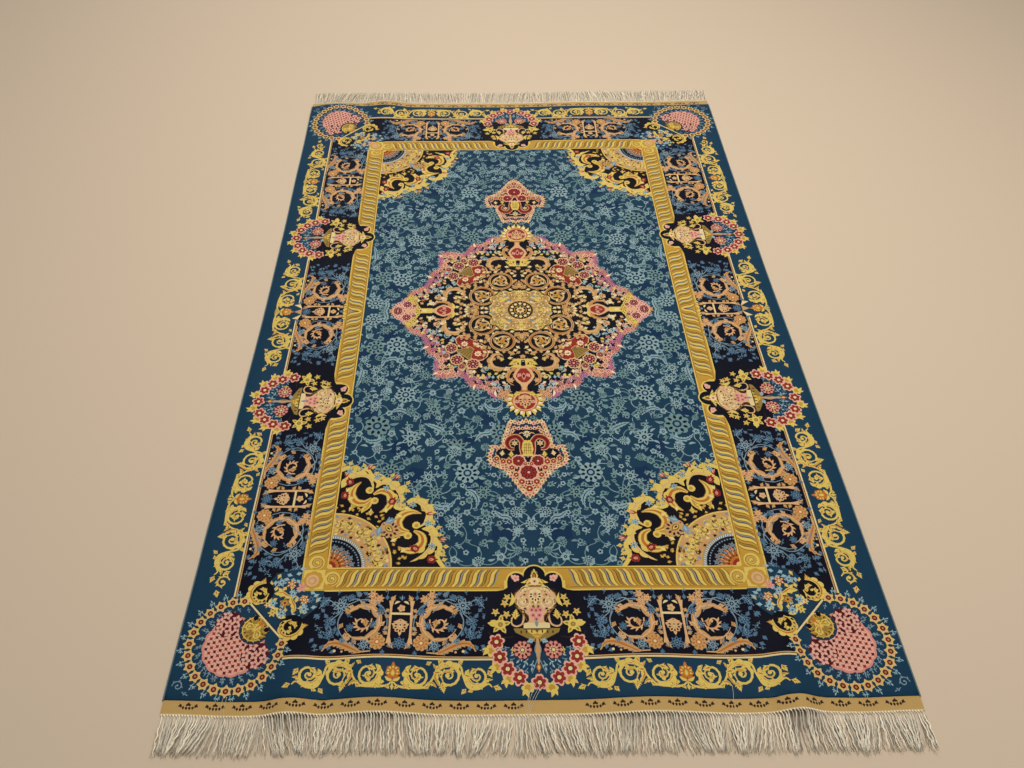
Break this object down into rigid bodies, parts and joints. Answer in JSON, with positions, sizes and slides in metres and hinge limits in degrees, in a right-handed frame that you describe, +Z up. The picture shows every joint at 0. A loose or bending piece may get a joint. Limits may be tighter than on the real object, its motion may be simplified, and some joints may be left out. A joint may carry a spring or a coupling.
{
  "type": "silk rug",
  "caption": "Rectangular knotted silk rug with a floral medallion design, flat-woven end bands and a fringe at each end, lying flat with small ripples at its edges.",
  "frame": {"origin": "centre of the rug's bounding box, on the floor that it lies on", "axes": "+Y along the rug's length towards its far end, +X across its width to the right, +Z up"},
  "size_m": [1.35, 2.202, 0.0205],
  "materials": {
    "silk_pile": "shorn silk pile with a soft sheen",
    "silk_warp": "loose ivory silk strands"
  },
  "bodies": {
    "root": {"rug_body": "silk_pile", "fringe_near": "silk_warp", "fringe_far": "silk_warp"}
  },
  "joints": []
}
